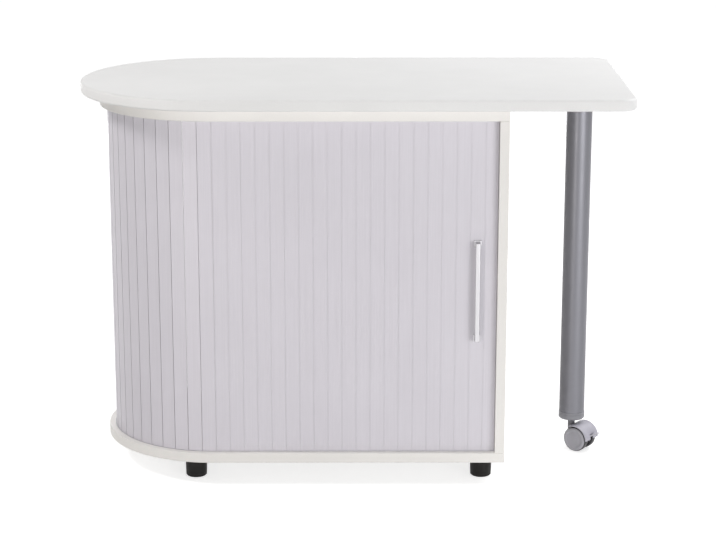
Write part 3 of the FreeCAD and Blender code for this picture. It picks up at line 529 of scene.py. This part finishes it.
# Caster: wheels with soft edges, and a skin with soft edges over the hood, whose angles are degrees
WHEEL_WIDTH = 16.0 * MM
WHEEL_CHAMFER = 4.0 * MM
WHEEL_RIM = 7.0 * MM
WHEEL_DISH = 1.2 * MM
WHEEL_ROUND = 1.6 * MM
BORE_RADIUS = 3.05 * MM
BORE_DEPTH = 13.0 * MM
HOOD_HALF = 23.5 * MM
HOOD_INNER = WHEEL_RADIUS + 1.5 * MM
HOOD_OUTER = HOOD_INNER + 2.6 * MM
HOOD_START = 3.0
HOOD_END = 115.0
SLOT_END = 22.0
SLOT_HALF = 5.6 * MM
SKIN = 0.2 * MM
SKIN_ROUND = 0.5 * MM
SKIN_SEGMENTS = 3
SLOT_STEPS = 8
HOOD_STEPS = 24
SLOT_COLUMN = 1

half = WHEEL_WIDTH / 2
dish = half - WHEEL_DISH
wheel_outline = [
    (0.0, BORE_DEPTH - half),
    (BORE_RADIUS, BORE_DEPTH - half),
    (BORE_RADIUS, -half),
    (WHEEL_RADIUS - WHEEL_CHAMFER / 2, -half),
    (WHEEL_RADIUS, WHEEL_CHAMFER / 2 - half),
    (WHEEL_RADIUS, half - WHEEL_CHAMFER),
    (WHEEL_RADIUS - WHEEL_CHAMFER, half),
    (WHEEL_RADIUS - WHEEL_RIM, half),
    (WHEEL_RADIUS - WHEEL_RIM - WHEEL_DISH, dish),
    (0.0, dish),
]
WHEELS = (
    ("wheel_front", wheel_front_mid, AXLE_WAY),
    ("wheel_back", wheel_back_mid, -AXLE_WAY),
)
for node, middle, way in WHEELS:
    build = bmesh.new()
    turned(build, rounded(wheel_outline, WHEEL_ROUND), middle, way)
    # The wheel's finish paints its tread black as shade under the hood
    piece = add_piece(node + "_turned", build, "grey_plastic", nodes[node]["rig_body"], "caster_wheel_painted_shade")
    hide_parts(node)

trail_way = Vector((AXLE_MID.x - leg_mid.x, AXLE_MID.y - leg_mid.y, 0.0)).normalized()


def about_axle(angle, radius, side):
    """A point on the hood: degrees up from the trailing side, distance from the axle and place along it."""
    turn = math.radians(angle)
    outward = trail_way * math.cos(turn) + Vector((0.0, 0.0, math.sin(turn)))
    return AXLE_MID + outward * radius + AXLE_WAY * side


skin_turn = math.degrees(SKIN / HOOD_OUTER)
low_turn = HOOD_START - skin_turn
mid_turn = SLOT_END - skin_turn
high_turn = HOOD_END + skin_turn
turns = [low_turn + (mid_turn - low_turn) * n / SLOT_STEPS for n in range(SLOT_STEPS)]
turns += [mid_turn + (high_turn - mid_turn) * n / HOOD_STEPS for n in range(HOOD_STEPS + 1)]
sides = (-HOOD_HALF - SKIN, -SLOT_HALF + SKIN, SLOT_HALF - SKIN, HOOD_HALF + SKIN)
build = bmesh.new()
grid = [[build.verts.new(about_axle(turn, HOOD_OUTER + SKIN, side)) for side in sides] for turn in turns]
for row, (low, high) in enumerate(zip(grid, grid[1:])):
    for column in range(len(sides) - 1):
        if column == SLOT_COLUMN and row < SLOT_STEPS:
            continue
        build.faces.new((low[column], low[column + 1], high[column + 1], high[column])).smooth = True
# The hood skin's finish paints its lining black as shade over the wheels
hood = add_piece("hood_skin", build, "grey_plastic", nodes["caster_body"]["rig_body"], "caster_hood_painted_shade")
wall = hood.modifiers.new("wall", "SOLIDIFY")
wall.thickness = HOOD_OUTER - HOOD_INNER + 2 * SKIN
wall.offset = -1.0
edge = hood.modifiers.new("soft_edges", "BEVEL")
edge.width = SKIN_ROUND
edge.segments = SKIN_SEGMENTS
edge.limit_method = "ANGLE"
edge.angle_limit = SHARP_ANGLE
hood.modifiers.new("even_shading", "WEIGHTED_NORMAL")

# Leg plate screws: button heads with a socket in place of plain heads, shaped by shares of height and radius
SCREW_HEAD = 4.0 * MM
SCREW_SHANK = 2.0 * MM
HEAD_HIGH = 2.5 * MM
SOCKET = 1.4 * MM
SCREW_ROUND = 0.5 * MM
SCREW_STEPS = 3
SCREW_TURNS = 36
DOWN = Vector((0.0, 0.0, -1.0))

build = bmesh.new()
for points in solids_of("leg_screws"):
    low = min(p.z for p in points)
    high = max(p.z for p in points)
    middle = sum(points, Vector()) / len(points)
    shank = low + HEAD_HIGH - high
    screw_outline = [
        (0.0, shank),
        (SCREW_SHANK, shank),
        (SCREW_SHANK, 0.0),
        (SCREW_HEAD, 0.0),
        (SCREW_HEAD, 0.4 * HEAD_HIGH),
        (0.75 * SCREW_HEAD, 0.85 * HEAD_HIGH),
        (1.3 * SOCKET, HEAD_HIGH),
        (SOCKET, 0.95 * HEAD_HIGH),
        (SOCKET, 0.4 * HEAD_HIGH),
        (0.0, 0.4 * HEAD_HIGH),
    ]
    seat = Vector((middle.x, middle.y, low + HEAD_HIGH))
    turned(build, rounded(screw_outline, SCREW_ROUND, SCREW_STEPS), seat, DOWN, SCREW_TURNS)
screws = add_piece("leg_screws_turned", build, "steel", nodes["leg_screws"]["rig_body"])
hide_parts("leg_screws")

# Camera: the photograph's viewpoint, tilted down instead of shifted so that other views stay centred;
# metres, degrees and pixels
IMAGE_WIDTH = 716
CAMERA_DISTANCE = 3.973
CAMERA_HEIGHT = 1.4
CAMERA_X = 0.002
CAMERA_PITCH = 14.57
CAMERA_YAW = 0.145
FOCAL_PIXELS = 2085.0
SENSOR_WIDTH = 36.0

camera_data = bpy.data.cameras.new("camera")
camera_data.sensor_width = SENSOR_WIDTH
camera_data.lens = FOCAL_PIXELS / IMAGE_WIDTH * SENSOR_WIDTH
camera = bpy.data.objects.new("camera", camera_data)
camera.location = (CAMERA_X, -CAMERA_DISTANCE, CAMERA_HEIGHT)
camera.rotation_euler = (math.radians(90.0 - CAMERA_PITCH), 0.0, math.radians(-CAMERA_YAW))
scene.collection.objects.link(camera)
scene.camera = camera


# Studio: pale floor, white surround and soft lamps

def seen_directly(tree):
    """1 on camera, glossy and transmission rays, which see the white surround."""
    path = tree.nodes.new("ShaderNodeLightPath")
    first = tree.nodes.new("ShaderNodeMath")
    first.operation = "MAXIMUM"
    tree.links.new(path.outputs["Is Camera Ray"], first.inputs[0])
    tree.links.new(path.outputs["Is Glossy Ray"], first.inputs[1])
    second = tree.nodes.new("ShaderNodeMath")
    second.operation = "MAXIMUM"
    tree.links.new(first.outputs[0], second.inputs[0])
    tree.links.new(path.outputs["Is Transmission Ray"], second.inputs[1])
    return second.outputs[0]


AMBIENT = 0.22
FLOOR_TONE = 0.75
FLOOR_REACH = 12.0
# The floor's own glow, weaker within GLOW_START metres of the desk so that its shadow shows
GLOW_START = 0.7
GLOW_END = 2.4
NEAR_GLOW = 0.68
FAR_GLOW = 0.85

world = bpy.data.worlds.new("studio")
world.use_nodes = True
scene.world = world
tree = world.node_tree
surround = tree.nodes["Background"]
surround.inputs["Color"].default_value = (1.0, 1.0, 1.0, 1.0)
strength = tree.nodes.new("ShaderNodeMapRange")
strength.inputs["To Min"].default_value = AMBIENT
strength.inputs["To Max"].default_value = 1.0
tree.links.new(seen_directly(tree), strength.inputs["Value"])
tree.links.new(strength.outputs["Result"], surround.inputs["Strength"])

floor_finish = bpy.data.materials.new("studio_floor")
floor_finish.use_nodes = True
tree = floor_finish.node_tree
tree.nodes.remove(tree.nodes["Principled BSDF"])
paint = tree.nodes.new("ShaderNodeBsdfDiffuse")
paint.inputs["Color"].default_value = (FLOOR_TONE, FLOOR_TONE, FLOOR_TONE, 1.0)
spot = tree.nodes.new("ShaderNodeTexCoord")
reach = tree.nodes.new("ShaderNodeVectorMath")
reach.operation = "LENGTH"
tree.links.new(spot.outputs["Object"], reach.inputs[0])
rise = tree.nodes.new("ShaderNodeMapRange")
rise.inputs["From Min"].default_value = GLOW_START
rise.inputs["From Max"].default_value = GLOW_END
rise.inputs["To Min"].default_value = NEAR_GLOW
rise.inputs["To Max"].default_value = FAR_GLOW
tree.links.new(reach.outputs["Value"], rise.inputs["Value"])
glow = tree.nodes.new("ShaderNodeEmission")
level = tree.nodes.new("ShaderNodeMath")
level.operation = "MULTIPLY"
tree.links.new(seen_directly(tree), level.inputs[0])
tree.links.new(rise.outputs["Result"], level.inputs[1])
tree.links.new(level.outputs[0], glow.inputs["Strength"])
both = tree.nodes.new("ShaderNodeAddShader")
tree.links.new(paint.outputs[0], both.inputs[0])
tree.links.new(glow.outputs[0], both.inputs[1])
tree.links.new(both.outputs[0], tree.nodes["Material Output"].inputs["Surface"])

floor_mesh = bpy.data.meshes.new("studio_floor")
corners = [(x * FLOOR_REACH, y * FLOOR_REACH, 0.0) for x, y in ((-1, -1), (1, -1), (1, 1), (-1, 1))]
floor_mesh.from_pydata(corners, [], [(0, 1, 2, 3)])
floor_mesh.materials.append(floor_finish)
floor = bpy.data.objects.new("studio_floor", floor_mesh)
scene.collection.objects.link(floor)

# Lamps: name, place, aim, width and height in metres, watts and colour
WHITE = (1.0, 1.0, 1.0)
LAMPS = (
    ("front_light", (2.3, -3.4, 0.6), (0.0, 0.0, 0.45), 2.2, 1.0, 63.0, WHITE),
    ("fill_light", (-1.45, -3.5, 0.45), (-0.1, 0.0, 0.5), 0.7, 1.0, 24.0, (1.0, 0.96, 0.91)),
    ("left_light", (-2.2, -0.4, 2.5), (-0.4, 0.0, 0.5), 0.6, 0.6, 35.0, (1.0, 0.98, 0.96)),
    ("top_light", (1.9, 0.8, 2.4), (0.45, 0.0, 0.7), 1.4, 1.2, 47.0, WHITE),
    ("back_light", (-0.8, 3.6, 0.38), (0.0, 0.0, 0.38), 2.0, 0.6, 30.0, WHITE),
)


def softbox(name, place, aim, width, height, watts, colour):
    """A soft rectangular lamp that points from its place at its aim."""
    data = bpy.data.lights.new(name, "AREA")
    data.shape = "RECTANGLE"
    data.size = width
    data.size_y = height
    data.energy = watts
    data.color = colour
    lamp = bpy.data.objects.new(name, data)
    lamp.location = place
    lamp.rotation_euler = (Vector(aim) - Vector(place)).to_track_quat("-Z", "Y").to_euler()
    scene.collection.objects.link(lamp)


for lamp in LAMPS:
    softbox(*lamp)
